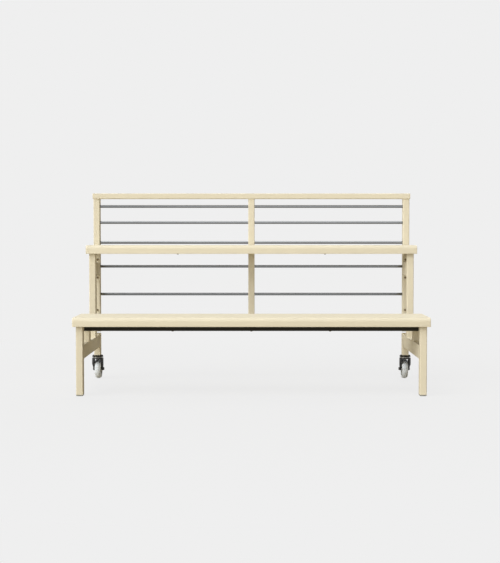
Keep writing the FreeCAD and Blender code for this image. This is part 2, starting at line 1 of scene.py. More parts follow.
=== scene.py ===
"""Looks of the convertible picnic table bench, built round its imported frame.

Metres, +Z up, the seat towards -Y. The sections follow the bench as it is put together.
"""
import math

import bmesh
import bpy
from mathutils import Matrix, Vector


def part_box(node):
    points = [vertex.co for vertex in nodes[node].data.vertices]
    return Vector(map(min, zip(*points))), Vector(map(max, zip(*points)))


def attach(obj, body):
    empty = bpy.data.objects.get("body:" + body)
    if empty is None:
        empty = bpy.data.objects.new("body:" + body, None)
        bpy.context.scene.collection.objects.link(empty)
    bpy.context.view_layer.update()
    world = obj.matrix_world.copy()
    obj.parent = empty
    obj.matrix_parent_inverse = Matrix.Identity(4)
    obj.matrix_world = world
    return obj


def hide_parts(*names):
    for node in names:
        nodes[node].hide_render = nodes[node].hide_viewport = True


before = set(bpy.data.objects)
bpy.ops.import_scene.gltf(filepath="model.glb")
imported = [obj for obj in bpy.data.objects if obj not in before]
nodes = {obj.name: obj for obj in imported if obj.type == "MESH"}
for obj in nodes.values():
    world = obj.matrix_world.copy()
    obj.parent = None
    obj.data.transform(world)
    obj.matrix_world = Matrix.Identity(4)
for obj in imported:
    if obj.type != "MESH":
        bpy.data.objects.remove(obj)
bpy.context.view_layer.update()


# Legs, posts and rails
# Rectangular mild steel tube, sawn square and welded into two frames. Each frame is blasted, sprayed
# with cream polyester powder and baked, which leaves one even satin skin over tubes and welds.
def linear(hex_colour):
    """sRGB hex colour as the linear RGBA that shaders take."""
    channels = [int(hex_colour[i:i + 2], 16) / 255 for i in (1, 3, 5)]
    return [c / 12.92 if c <= 0.04045 else ((c + 0.055) / 1.055) ** 2.4 for c in channels] + [1.0]


def plug(tree, node, inputs):
    """Links a socket, or a node's first output, to each input of the node, or sets the input's value."""
    for name, value in inputs.items():
        if isinstance(value, bpy.types.Node):
            value = value.outputs[0]
        if isinstance(value, bpy.types.NodeSocket):
            tree.links.new(value, node.inputs[name])
        else:
            node.inputs[name].default_value = value


def add(tree, kind, inputs=None, **settings):
    """Adds a node with its settings and inputs."""
    node = tree.nodes.new(kind)
    for name, value in settings.items():
        setattr(node, name, value)
    plug(tree, node, inputs or {})
    return node


def start_material(name):
    """New node material with its shader and the piece's own coordinates."""
    material = bpy.data.materials.new(name)
    material.use_nodes = True
    tree = material.node_tree
    return material, tree, tree.nodes["Principled BSDF"], add(tree, "ShaderNodeTexCoord").outputs["Object"]


# Polyester powder coat: satin, with a faint orange peel. The real dimples are about 1 mm across and
# are drawn 3 mm wide so that they show, and slow clouds stand for the film's uneven thickness.
powder_coat, tree, shader, place = start_material("cream_polyester_powder_coat")
cloud = add(tree, "ShaderNodeTexNoise", {"Vector": place, "Scale": 1 / 0.09, "Detail": 2.0})
peel = add(tree, "ShaderNodeTexNoise", {"Vector": place, "Scale": 1 / 0.003, "Detail": 1.0})
tint = add(tree, "ShaderNodeMix", {0: cloud, 6: linear("#dad2bb"), 7: linear("#e0d8c1")},
           data_type="RGBA")
gloss = add(tree, "ShaderNodeMapRange", {"Value": cloud, "To Min": 0.62, "To Max": 0.7})
relief = add(tree, "ShaderNodeBump", {"Height": peel, "Strength": 0.25, "Distance": 0.0002})
plug(tree, shader, {"Base Color": tint.outputs[2], "Roughness": gloss,
                    "Normal": relief, "IOR": 1.5, "Specular IOR Level": 0.05})

SIDES = {"left": -1, "right": 1}


def both(*stems):
    """Names of the left and the right node of each pair."""
    return [stem + "_" + side for stem in stems for side in SIDES]


def coat(material, *names):
    """Gives CAD nodes their finish."""
    for name in names:
        nodes[name].material_slots[0].material = material


coat(powder_coat, *both("front_leg", "seat_rear_post", "low_rail", "seat_bearer", "caster_post",
                        "table_leg", "table_bearer", "upper_side_rail", "mid_side_rail",
                        "flange_plates", "back_post"),
     "centre_post", "top_rail", "bottom_rail", "table_beam")

# Weld beads
# Where one tube butts on another, a bead runs all round the joint. Flush sides are filled level, the
# other sides get a small fillet, and the powder softens the ripples that the torch leaves.
FLUSH, FILLET = -0.0018, 0.0007
SIDE_JOINT, POST_JOINT, CROSS_JOINT = (FLUSH, 0, FILLET), (FLUSH, FILLET, 0), (0, FLUSH, FILLET)
SEAM_CORNER, SEAM_CORNER_STEPS = 0.003, 3
BEAD_RADIUS, RIPPLE, RIPPLE_DEPTH = 0.0026, 0.0042, 0.14
STEPS_PER_RIPPLE = 4
X, Y, Z = 0, 1, 2
LOW, HIGH = 0, 1


def rounded(half_x, half_y, radius, steps):
    """Points of a rounded rectangle round the origin, anticlockwise, as many in each corner."""
    points = []
    for corner, (sign_x, sign_y) in enumerate(((1, 1), (-1, 1), (-1, -1), (1, -1))):
        for step in range(steps + 1):
            angle = math.pi / 2 * (corner + step / steps)
            points.append((sign_x * (half_x - radius) + radius * math.cos(angle),
                           sign_y * (half_y - radius) + radius * math.sin(angle)))
    return points


def seam(node, axis, end, grow):
    """Closed outline of a joint: a node's section at its LOW or HIGH end, grown along each axis."""
    low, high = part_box(node)
    across, up = [a for a in range(3) if a != axis]
    half_across, half_up = [(high[a] - low[a]) / 2 + grow[a] for a in (across, up)]
    points = []
    for x, y in rounded(half_across, half_up, SEAM_CORNER, SEAM_CORNER_STEPS):
        point = Vector((0, 0, 0))
        point[axis] = (low, high)[end][axis]
        point[across] = (low[across] + high[across]) / 2 + x
        point[up] = (low[up] + high[up]) / 2 + y
        points.append(tuple(point))
    return points


def new_tree(name, **sockets):
    """Geometry Nodes tree with its group input and output, and one named input for each size."""
    tree = bpy.data.node_groups.new(name, "GeometryNodeTree")
    tree.interface.new_socket("Geometry", in_out="INPUT", socket_type="NodeSocketGeometry")
    tree.interface.new_socket("Geometry", in_out="OUTPUT", socket_type="NodeSocketGeometry")
    for title, kind in sockets.items():
        tree.interface.new_socket(title, in_out="INPUT", socket_type="NodeSocket" + kind)
    return tree, add(tree, "NodeGroupInput").outputs


def end_tree(tree, geometry, material):
    """Ends a tree in real geometry with its material."""
    real = add(tree, "GeometryNodeRealizeInstances", {"Geometry": geometry})
    painted = add(tree, "GeometryNodeSetMaterial", {"Geometry": real, "Material": material})
    add(tree, "NodeGroupOutput", {"Geometry": painted})


def settle(piece):
    """Turns a piece's modifiers into plain mesh."""
    graph = bpy.context.evaluated_depsgraph_get()
    mesh = bpy.data.meshes.new_from_object(piece.evaluated_get(graph))
    piece.modifiers.clear()
    piece.data = mesh
    mesh.name = piece.name


def grow_tree(name, points, edges, tree, **values):
    """Runs a tree on points and edges and keeps what it makes as a plain mesh piece."""
    source = bpy.data.meshes.new(name)
    source.from_pydata(points, edges, [])
    piece = bpy.data.objects.new(name, source)
    bpy.context.scene.collection.objects.link(piece)
    modifier = piece.modifiers.new(tree.name, "NODES")
    modifier.node_group = tree
    for socket in tree.interface.items_tree:
        if socket.in_out == "INPUT" and socket.name in values:
            modifier[socket.identifier] = values[socket.name]
    settle(piece)
    return piece


def finish_piece(piece, body, slot, *replaced):
    """Fastens a piece to its body and hides the CAD nodes that it stands for. Its slot is not used."""
    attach(piece, body)
    if replaced:
        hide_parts(*replaced)


bead_tree, group = new_tree("weld_bead", Radius="Float", Ripple="Float", Depth="Float", Material="Material")
path = add(bead_tree, "GeometryNodeMeshToCurve", {"Mesh": group["Geometry"]})
pitch = add(bead_tree, "ShaderNodeMath", {0: group["Ripple"], 1: STEPS_PER_RIPPLE}, operation="DIVIDE")
even = add(bead_tree, "GeometryNodeResampleCurve", {"Curve": path, "Length": pitch}, mode="LENGTH")
index = add(bead_tree, "GeometryNodeInputIndex")
phase = add(bead_tree, "ShaderNodeMath", {0: index, 1: STEPS_PER_RIPPLE}, operation="MODULO")
wave = add(bead_tree, "ShaderNodeMath", {0: phase, 1: STEPS_PER_RIPPLE - 1}, operation="DIVIDE")
swell = add(bead_tree, "ShaderNodeMath", {0: wave, 1: group["Depth"], 2: 1.0}, operation="MULTIPLY_ADD")
section = add(bead_tree, "GeometryNodeCurvePrimitiveCircle", {"Resolution": 8, "Radius": group["Radius"]})
bead = add(bead_tree, "GeometryNodeCurveToMesh",
           {"Curve": even, "Profile Curve": section, "Scale": swell})
smooth = add(bead_tree, "GeometryNodeSetShadeSmooth", {"Geometry": bead})
end_tree(bead_tree, smooth, group["Material"])


def weld(name, body, seams):
    """One piece with a bead along each closed outline."""
    points, edges = [], []
    for outline in seams:
        first, count = len(points), len(outline)
        points += outline
        edges += [(first + i, first + (i + 1) % count) for i in range(count)]
    piece = grow_tree(name, points, edges, bead_tree, Radius=BEAD_RADIUS, Ripple=RIPPLE, Depth=RIPPLE_DEPTH,
                      Material=powder_coat)
    finish_piece(piece, body, "frame_paint")


base_seams, table_seams = [], []
for side, sign in SIDES.items():
    outer = HIGH if sign > 0 else LOW
    for seams, rails in ((base_seams, ("low_rail_", "seat_bearer_")),
                         (table_seams, ("upper_side_rail_", "mid_side_rail_"))):
        seams += [seam(rail + side, Y, end, SIDE_JOINT) for rail in rails for end in (LOW, HIGH)]
    base_seams.append(seam("seat_rear_post_" + side, Z, LOW, POST_JOINT))
    table_seams += [seam("table_bearer_" + side, Y, LOW, SIDE_JOINT),
                    seam("back_post_" + side, Z, HIGH, POST_JOINT),
                    seam("bottom_rail", X, outer, CROSS_JOINT), seam("table_beam", X, outer, CROSS_JOINT)]
table_seams += [seam("centre_post", Z, LOW, (FILLET, FLUSH, 0)),
                seam("centre_post", Z, HIGH, (FILLET, FILLET, 0))]
weld("base_welds", "base", base_seams)
weld("table_frame_welds", "table_frame", table_seams)

# Foot glides
# Injection-moulded grey polyethylene, hammered into the sawn ends of the front legs. A short drafted
# pad shows under the tube and takes the wear of the floor.
grey_plastic, tree, shader, place = start_material("grey_polyethylene_moulded")
# Polyethylene: waxy and matt, a little uneven in tone; the spark-eroded mould grain is drawn 1.5 mm.
cloud = add(tree, "ShaderNodeTexNoise", {"Vector": place, "Scale": 1 / 0.012, "Detail": 3.0})
grain = add(tree, "ShaderNodeTexNoise", {"Vector": place, "Scale": 1 / 0.0015, "Detail": 1.0})
tint = add(tree, "ShaderNodeMix", {0: cloud, 6: linear("#8f908b"), 7: linear("#a3a49f")},
           data_type="RGBA")
relief = add(tree, "ShaderNodeBump", {"Height": grain, "Strength": 0.4, "Distance": 0.0002})
plug(tree, shader, {"Base Color": tint.outputs[2], "Roughness": 0.55, "Normal": relief, "IOR": 1.5})
# Profiles are (inset from the tube's sides, height): the pad's sole stands on the floor, and its
# collar is measured from the leg's sawn end.
SOLE = [(0.0025, 0.0), (0.0015, 0.0008), (0.001, 0.002)]
COLLAR = [(0.0004, -0.0015), (0.0, -0.0008), (0.0002, 0.0)]
GLIDE_PLUG_INSET, PLUG_DEPTH = 0.0025, 0.022
TUBE_CORNER, LEAST_CORNER, CORNER_STEPS = 0.004, 0.0015, 6
CREASE = math.radians(35)


def shaded(name, mesh):
    """Object for a mesh, smooth except where its faces meet at more than the crease angle."""
    mesh.shade_smooth()
    mesh.set_sharp_from_angle(angle=CREASE)
    piece = bpy.data.objects.new(name, mesh)
    bpy.context.scene.collection.objects.link(piece)
    return piece


def skin(name, rings, material, joined=False):
    """Mesh piece from rings of points: quads between neighbours, and flat ends unless they are joined."""
    count, total = len(rings[0]), len(rings)
    faces = []
    for lower in range(total if joined else total - 1):
        upper = (lower + 1) % total
        for i in range(count):
            j = (i + 1) % count
            faces.append((lower * count + i, lower * count + j, upper * count + j, upper * count + i))
    if not joined:
        faces += [tuple(range(count)), tuple(range((total - 1) * count, total * count))]
    shape = bmesh.new()
    corners = [shape.verts.new(point) for ring in rings for point in ring]
    for face in faces:
        shape.faces.new([corners[i] for i in face])
    bmesh.ops.recalc_face_normals(shape, faces=shape.faces)
    mesh = bpy.data.meshes.new(name)
    shape.to_mesh(mesh)
    shape.free()
    mesh.materials.append(material)
    return shaded(name, mesh)


def centred(low, high):
    """Middle of a box and half its size."""
    return (low + high) / 2, (high - low) / 2


def ring(middle, half_x, half_y, radius, height, steps=CORNER_STEPS):
    """Level rounded rectangle round a middle point, as points."""
    return [(middle.x + x, middle.y + y, height) for x, y in rounded(half_x, half_y, radius, steps)]


def tube_rings(middle, half_x, half_y, profile, tighten, steps=CORNER_STEPS):
    """Rings along a tube from a profile, with corners that tighten by a share of the inset."""
    return [ring(middle, half_x - inset, half_y - inset, max(TUBE_CORNER - inset * tighten, LEAST_CORNER),
                 height, steps) for inset, height in profile]


for side in SIDES:
    low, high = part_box("front_leg_" + side)
    middle, half = centred(low, high)
    profile = SOLE + [(inset, low.z + rise) for inset, rise in COLLAR]
    profile += [(GLIDE_PLUG_INSET, low.z), (GLIDE_PLUG_INSET, low.z + PLUG_DEPTH)]
    glide = skin("foot_glide_pad_" + side, tube_rings(middle, half.x, half.y, profile, 0.0), grey_plastic)
    finish_piece(glide, "base", "grey_plastic", "foot_glide_" + side)

# Caps of the caster posts
# Cream polypropylene plugs with a low dome, pushed into the open top of each caster post. The table
# frame's back posts come down just above them.
cream_plastic, tree, shader, place = start_material("cream_polypropylene_moulded")
# Polypropylene: a shade yellower and duller than the powder, with a fine mould grain drawn 1.5 mm.
cloud = add(tree, "ShaderNodeTexNoise", {"Vector": place, "Scale": 1 / 0.02, "Detail": 2.0})
grain = add(tree, "ShaderNodeTexNoise", {"Vector": place, "Scale": 1 / 0.0015, "Detail": 1.0})
tint = add(tree, "ShaderNodeMix", {0: cloud, 6: linear("#dccda4"), 7: linear("#e1d3ab")},
           data_type="RGBA")
relief = add(tree, "ShaderNodeBump", {"Height": grain, "Strength": 0.3, "Distance": 0.0002})
plug(tree, shader, {"Base Color": tint.outputs[2], "Roughness": 0.5, "Normal": relief, "IOR": 1.49})
CAP_PLUG_INSET, CAP_SEAT = 0.0028, 0.0003
DOME_EDGE, DOME_WIDTH, DOME_FLAT, DOME_STEPS = 0.0006, 0.006, 0.009, 6


def quarter(steps):
    """Quarter round from its foot to its top: the shares gone in, and still to rise, at each step."""
    turns = [math.pi / 2 * step / steps for step in range(steps + 1)]
    return [(1 - math.cos(turn), 1 - math.sin(turn)) for turn in turns]


def joined_piece(name, parts):
    """Joins mesh pieces that belong together into one."""
    whole = bmesh.new()
    for part in parts:
        whole.from_mesh(part.data)
    mesh = parts[0].data.copy()
    mesh.name = name
    whole.to_mesh(mesh)
    whole.free()
    for part in parts:
        bpy.data.objects.remove(part)
    return shaded(name, mesh)


caps = []
dome_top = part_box("caster_post_caps")[HIGH].z
for name in both("caster_post"):
    low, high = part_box(name)
    middle, half = centred(low, high)
    dome = dome_top - high.z - DOME_EDGE
    profile = [(CAP_PLUG_INSET, high.z - PLUG_DEPTH), (CAP_PLUG_INSET, high.z), (CAP_SEAT, high.z),
               (0.0, high.z + DOME_EDGE)]
    profile += [(DOME_WIDTH * gone, dome_top - dome * left) for gone, left in quarter(DOME_STEPS)[1:]]
    profile.append((DOME_FLAT, dome_top))
    caps.append(skin("cap", tube_rings(middle, half.x, half.y, profile, 0.5), cream_plastic))
finish_piece(joined_piece("caster_post_domes", caps), "base", "cream_plastic", "caster_post_caps")

# Spigots
# Bright zinc-plated steel blocks welded on the low rails. The table legs slide down over them, so they
# only show when the table frame is lifted off.
zinc_plate, tree, shader, place = start_material("zinc_plated_steel")
# Zinc plate: a soft grey metal sheen with a trace of yellow, cloudy where the bath left it uneven. The
# crystal grain is finer than a hair and is drawn 1 mm wide.
cloud = add(tree, "ShaderNodeTexNoise", {"Vector": place, "Scale": 1 / 0.015, "Detail": 2.0})
grain = add(tree, "ShaderNodeTexNoise", {"Vector": place, "Scale": 1 / 0.001, "Detail": 1.0})
tint = add(tree, "ShaderNodeMix", {0: cloud, 6: linear("#b3b1aa"), 7: linear("#c9c6bb")},
           data_type="RGBA")
gloss = add(tree, "ShaderNodeMapRange", {"Value": cloud, "To Min": 0.28, "To Max": 0.42})
relief = add(tree, "ShaderNodeBump", {"Height": grain, "Strength": 0.2, "Distance": 0.0001})
plug(tree, shader, {"Base Color": tint.outputs[2], "Roughness": gloss,
                    "Normal": relief, "Metallic": 1.0})
coat(zinc_plate, *both("spigot"))

# Seat beam and stiffeners
# A black powder-coated tube runs behind the seat's front edge and carries the sheet between the legs.
# Three folded channels behind it keep the tray flat; they are coated cream like the frame.
black_coat, tree, shader, place = start_material("black_polyester_powder_coat")
# Black powder: deep charcoal with a satin sheen and the same 3 mm peel as the cream coat.
cloud = add(tree, "ShaderNodeTexNoise", {"Vector": place, "Scale": 1 / 0.09, "Detail": 2.0})
peel = add(tree, "ShaderNodeTexNoise", {"Vector": place, "Scale": 1 / 0.003, "Detail": 1.0})
tint = add(tree, "ShaderNodeMix", {0: cloud, 6: linear("#282620"), 7: linear("#2f2c24")},
           data_type="RGBA")
relief = add(tree, "ShaderNodeBump", {"Height": peel, "Strength": 0.25, "Distance": 0.0002})
plug(tree, shader, {"Base Color": tint.outputs[2], "Roughness": 0.55, "Normal": relief,
                    "IOR": 1.5, "Specular IOR Level": 0.1})
coat(black_coat, "seat_beam")
coat(powder_coat, "seat_stiffeners", "table_stiffeners", "centre_bracket")

# Seat board
# A tray folded from 2 mm sheet: rolled over along the front and the back, eased at its ends, with a
# return lip all round below. Its rear lip is notched round two posts, and it is coated like the frame.
ROLL, EASED_END, SHEET, LIP, LIP_CORNER = 0.020, 0.003, 0.002, 0.012, 0.002
ROLL_STEPS = 14
BEND, BEND_STEPS = 0.0012, 3
# One more ring this far from a curve keeps the flat beside it evenly shaded.
SUPPORT = 0.003
NOTCH_PLAY, NOTCH_SHY = 0.001, 0.0002


def tray(name, low, high):
    """Tray between two corners, as rings from its flat top round the sides and the lip to its underside."""
    middle, half = centred(low, high)

    def level(inset_x, inset_y, height, corner=EASED_END):
        """Ring at a height, drawn in from the tray's sides."""
        return ring(middle, half.x - inset_x, half.y - inset_y, corner, height)

    def rolled(inset):
        """Rings from the flat top round the rolled edges, this deep in the sheet."""
        radius, end = ROLL - inset, EASED_END - inset
        rings = [level(inset + end + SUPPORT, inset + radius + SUPPORT, high.z - inset, end)]
        for gone, left in quarter(ROLL_STEPS):
            drop = radius * gone
            short = max(end - drop, 0.0)
            rings.append(level(inset + end - math.sqrt(end ** 2 - short ** 2), inset + radius * left,
                               high.z - inset - drop, end))
        return rings

    outside = rolled(0.0) + [level(0.0, 0.0, low.z + BEND + SUPPORT)]
    outside += [level(BEND * gone, BEND * gone, low.z + BEND * left) for gone, left in quarter(BEND_STEPS)]
    lip = [level(LIP, LIP, low.z, LIP_CORNER), level(LIP, LIP, low.z + SHEET, LIP_CORNER),
           level(SHEET + BEND, SHEET + BEND, low.z + SHEET, BEND),
           level(SHEET, SHEET, low.z + SHEET + BEND, BEND * 2)]
    return skin(name, outside + lip + rolled(SHEET)[::-1], powder_coat)


def boolean(piece, operation, *others):
    """Cuts other pieces out of a piece, or joins or meets it with them, and keeps the plain mesh."""
    for other in others:
        modifier = piece.modifiers.new(operation, "BOOLEAN")
        modifier.operation = operation
        modifier.solver = "EXACT"
        modifier.object = other
    settle(piece)
    for other in others:
        bpy.data.objects.remove(other)
    piece.data.shade_smooth()
    piece.data.set_sharp_from_angle(angle=CREASE)


def block(low, high, material):
    """Square block between two corners, for cutting and joining."""
    middle, half = centred(low, high)
    corners = [(-1, -1), (1, -1), (1, 1), (-1, 1)]
    return skin("block", [[(middle.x + x * half.x, middle.y + y * half.y, z) for x, y in corners]
                          for z in (low.z, high.z)], material)


low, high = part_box("seat_board")
seat_tray = tray("seat_tray", low, high)
notches = []
for name in both("seat_rear_post"):
    post_low, post_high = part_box(name)
    play = Vector((NOTCH_PLAY, 0, 0))
    notch_low = Vector((post_low.x, post_low.y, low.z - SHEET)) - play
    notch_high = Vector((post_high.x, high.y - SHEET - NOTCH_SHY, low.z + 2 * LIP)) + play
    notches.append(block(notch_low, notch_high, powder_coat))
boolean(seat_tray, "DIFFERENCE", *notches)
finish_piece(seat_tray, "base", "board_paint", "seat_board")

# Seat and table screws
# Black oxide button-head screws, driven from below by a hexagon socket: three in the underside of the
# seat beam, and two through the table board's front lip, where its stiffeners end.
black_oxide, tree, shader, place = start_material("black_oxide_steel")
# Black oxide: a thin brown-black film over steel, so a dark metal with dull, slightly patchy gloss.
cloud = add(tree, "ShaderNodeTexNoise", {"Vector": place, "Scale": 1 / 0.004, "Detail": 3.0})
tint = add(tree, "ShaderNodeMix", {0: cloud, 6: linear("#685a43"), 7: linear("#7a6b52")},
           data_type="RGBA")
gloss = add(tree, "ShaderNodeMapRange", {"Value": cloud, "To Min": 0.35, "To Max": 0.5})
plug(tree, shader, {"Base Color": tint.outputs[2], "Roughness": gloss, "Metallic": 1.0})
# Turned profiles are (radius, height), and the width across flats where they are hexagonal. Heads
# hang below their seat at height 0, and shanks stand above it.
BUTTON_SCREW = [(0.0028, SHEET), (0.003, SHEET - 0.0003), (0.003, 0.0), (0.006, 0.0), (0.006, -0.0012),
                (0.0056, -0.0019), (0.0048, -0.0026), (0.0037, -0.0031), (0.003, -0.0032),
                (0.0026, -0.0032, 0.004), (0.0026, -0.0014, 0.004)]
FACING_UP, SPIN_UP = (0.0, 0.0, 0.0), (0.0, 0.0, 1.0)
STIFFENER_X = 0.4
ROUND_STEPS = 48


def circle(radius, height, across=None):
    """Level ring of points round the origin, flattened to a hexagon where a width across flats is given."""
    points = []
    for step in range(ROUND_STEPS):
        angle = math.tau * step / ROUND_STEPS
        reach = radius
        if across:
            off_flat = (angle + math.pi / 6) % (math.pi / 3) - math.pi / 6
            reach = min(radius, across / 2 / math.cos(off_flat))
        points.append((reach * math.cos(angle), reach * math.sin(angle), height))
    return points


def turned(name, profile, material, joined=False):
    """Piece of revolution about +Z from a turned profile."""
    return skin(name, [circle(*point) for point in profile], material, joined)


fastener_tree, group = new_tree("fastener_rows", Fastener="Object", Facing="Vector", Spin="Vector",
                                Seed="Int", Material="Material")
fastener = add(fastener_tree, "GeometryNodeObjectInfo", {"Object": group["Fastener"], "As Instance": True})
turn = add(fastener_tree, "FunctionNodeRandomValue", {2: 0.0, 3: math.tau, "Seed": group["Seed"]})
spun = add(fastener_tree, "ShaderNodeVectorMath", {0: group["Spin"], "Scale": turn.outputs[1]},
           operation="SCALE")
faced = add(fastener_tree, "ShaderNodeVectorMath", {0: group["Facing"], 1: spun})
row = add(fastener_tree, "GeometryNodeInstanceOnPoints",
          {"Points": group["Geometry"], "Instance": fastener.outputs["Geometry"], "Rotation": faced})
end_tree(fastener_tree, row, group["Material"])


def fasteners(name, source, points, facing, spin, body, node):
    """One piece with a copy of the source at each point, turned at random about its own axis."""
    piece = grow_tree(name, points, [], fastener_tree, Fastener=source, Facing=facing, Spin=spin, Seed=7,
                      Material=black_oxide)
    finish_piece(piece, body, "dark_bolts", node)


button = turned("button_screw", BUTTON_SCREW, black_oxide)
low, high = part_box("seat_beam")
fasteners("seat_beam_screws", button,
          [(x, (low.y + high.y) / 2, low.z) for x in (-STIFFENER_X, 0, STIFFENER_X)],
          FACING_UP, SPIN_UP, "base", "seat_screws")
low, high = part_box("table_board")
fasteners("table_lip_screws", button, [(x, low.y + LIP / 2, low.z) for x in (-STIFFENER_X, STIFFENER_X)],
          FACING_UP, SPIN_UP, "table_frame", "table_screws")
bpy.data.objects.remove(button)

# Flange bolts
# M6 flanged hexagon bolts, black oxide, two through each flange plate into the back posts, a little
# inward of the plate's middle. They hold the side frames to the back, and their heads face forward.
FLANGE_BOLT = [(0.0025, 0.016), (0.003, 0.0155), (0.003, 0.0), (0.0059, 0.0), (0.0062, -0.0003),
               (0.0061, -0.0007), (0.0055, -0.0012), (0.0058, -0.0013, 0.01), (0.0058, -0.004, 0.01),
               (0.0052, -0.0044, 0.01), (0.0043, -0.0045), (0.0038, -0.0042), (0.001, -0.0041)]
PLATE_HEIGHT, BOLT_TO_END, BOLT_INSET = 0.140, 0.0195, 0.0045
FACING_BACK, SPIN_BACK = (-math.pi / 2, 0.0, 0.0), (0.0, 1.0, 0.0)
bolt = turned("flange_bolt", FLANGE_BOLT, black_oxide)
points = []
for side, sign in SIDES.items():
    low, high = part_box("flange_plates_" + side)
    x = (low.x + high.x) / 2 - sign * BOLT_INSET
    for plate_bottom in (low.z, high.z - PLATE_HEIGHT):
        points += [(x, low.y, plate_bottom + up) for up in (BOLT_TO_END, PLATE_HEIGHT - BOLT_TO_END)]
fasteners("flange_bolts", bolt, points, FACING_BACK, SPIN_BACK, "table_frame", "frame_bolts")
bpy.data.objects.remove(bolt)

# Rods of the back
# Five polished stainless tubes, 16 mm across, pushed through the drilled middle post and seated in the
# side posts. The gaps between them grow evenly from the top down.
stainless, tree, shader, place = start_material("polished_stainless_steel")
# Stainless: a neutral mid-grey mirror, brushed very finely along the tube when it was polished. The
# streaks are drawn 2 mm wide and 120 mm long so that they show.
stretched = add(tree, "ShaderNodeMapping", {"Vector": place, "Scale": (1 / 0.12, 1 / 0.002, 1 / 0.002)})
streak = add(tree, "ShaderNodeTexNoise", {"Vector": stretched, "Scale": 1.0, "Detail": 2.0})
tint = add(tree, "ShaderNodeMix", {0: streak, 6: linear("#717375"), 7: linear("#7d7f81")},
           data_type="RGBA")
gloss = add(tree, "ShaderNodeMapRange", {"Value": streak, "To Min": 0.1, "To Max": 0.16})
plug(tree, shader, {"Base Color": tint.outputs[2], "Roughness": gloss, "Metallic": 1.0})

rod_tree, group = new_tree("back_rods", Count="Int", Gap="Float", Growth="Float", Length="Float",
                           Radius="Float", Material="Material")
index = add(rod_tree, "GeometryNodeInputIndex")
before = add(rod_tree, "ShaderNodeMath", {0: index, 1: 1.0}, operation="SUBTRACT")
pairs = add(rod_tree, "ShaderNodeMath", {0: index, 1: before}, operation="MULTIPLY")
growth = add(rod_tree, "ShaderNodeMath", {0: group["Growth"], 1: -0.5}, operation="MULTIPLY")
extra = add(rod_tree, "ShaderNodeMath", {0: pairs, 1: growth}, operation="MULTIPLY")
gap = add(rod_tree, "ShaderNodeMath", {0: group["Gap"], 1: -1.0}, operation="MULTIPLY")
drop = add(rod_tree, "ShaderNodeMath", {0: index, 1: gap, 2: extra}, operation="MULTIPLY_ADD")
height = add(rod_tree, "ShaderNodeCombineXYZ", {"Z": drop})
column = add(rod_tree, "GeometryNodePoints", {"Count": group["Count"], "Position": height})
half_length = add(rod_tree, "ShaderNodeMath", {0: group["Length"], 1: 0.5}, operation="MULTIPLY")
right = add(rod_tree, "ShaderNodeCombineXYZ", {"X": half_length})
left = add(rod_tree, "ShaderNodeVectorMath", {0: right, "Scale": -1.0}, operation="SCALE")
line = add(rod_tree, "GeometryNodeCurvePrimitiveLine", {"Start": left, "End": right})
section = add(rod_tree, "GeometryNodeCurvePrimitiveCircle", {"Resolution": 32, "Radius": group["Radius"]})
rod = add(rod_tree, "GeometryNodeCurveToMesh",
          {"Curve": line, "Profile Curve": section, "Fill Caps": True})
rods = add(rod_tree, "GeometryNodeInstanceOnPoints", {"Points": column, "Instance": rod})
origin = add(rod_tree, "GeometryNodeInputPosition")
start = add(rod_tree, "GeometryNodeSampleIndex", {"Geometry": group["Geometry"], "Value": origin},
            data_type="FLOAT_VECTOR")
hung = add(rod_tree, "GeometryNodeSetPosition", {"Geometry": rods, "Offset": start})
smooth = add(rod_tree, "GeometryNodeSetShadeSmooth", {"Geometry": hung})
end_tree(rod_tree, smooth, group["Material"])

RODS = ["rod_" + str(number) for number in range(1, 6)]
first, second, third = [(low + high) / 2 for low, high in map(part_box, RODS[:3])]
first_gap, second_gap = first.z - second.z, second.z - third.z
low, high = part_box(RODS[0])
stainless_rods = grow_tree("stainless_rods", [tuple(first)], [], rod_tree, Count=len(RODS), Gap=first_gap,
                           Growth=second_gap - first_gap, Length=high.x - low.x,
                           Radius=(high.z - low.z) / 2, Material=stainless)
stainless_rods.data.set_sharp_from_angle(angle=CREASE)
finish_piece(stainless_rods, "table_frame", "stainless_tube", *RODS)

# End caps of the top rail
# Cream polypropylene plugs like the caster posts' caps, pushed into both ends of the top rail, with a
# flat cushion-edged face as large as the tube.
RAIL_CAP_EDGE, CUSHION, CUSHION_STEPS = 0.0004, 0.002, 6


def turn_out(sign):
    """Turn that lays +Z along +X or -X."""
    return Vector((0, 0, 1)).rotation_difference(Vector((sign, 0, 0))).to_matrix().to_4x4()


low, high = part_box("top_rail")
middle, half = centred(low, high)
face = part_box("top_rail_caps")[HIGH].x - high.x
profile = [(CAP_PLUG_INSET, -PLUG_DEPTH), (CAP_PLUG_INSET, 0.0), (CAP_SEAT, 0.0), (0.0, RAIL_CAP_EDGE)]
profile += [(CUSHION * gone, face - CUSHION * left) for gone, left in quarter(CUSHION_STEPS)]
profile.append((2 * CUSHION, face))
caps = []
for sign in SIDES.values():
    cap = skin("cap", tube_rings(Vector((0, 0, 0)), half.z, half.y, profile, 1.0), cream_plastic)
    cap.data.transform(Matrix.Translation((sign * half.x, middle.y, middle.z)) @ turn_out(sign))
    caps.append(cap)
finish_piece(joined_piece("top_rail_end_caps", caps), "table_frame", "cream_plastic", "top_rail_caps")

# Buffers in the back posts
# Black EPDM plugs in the lower ends of the back posts, with a low round nose over the caster posts so
# that steel never knocks on steel when the frame is set down.
black_rubber, tree, shader, place = start_material("black_epdm_rubber")
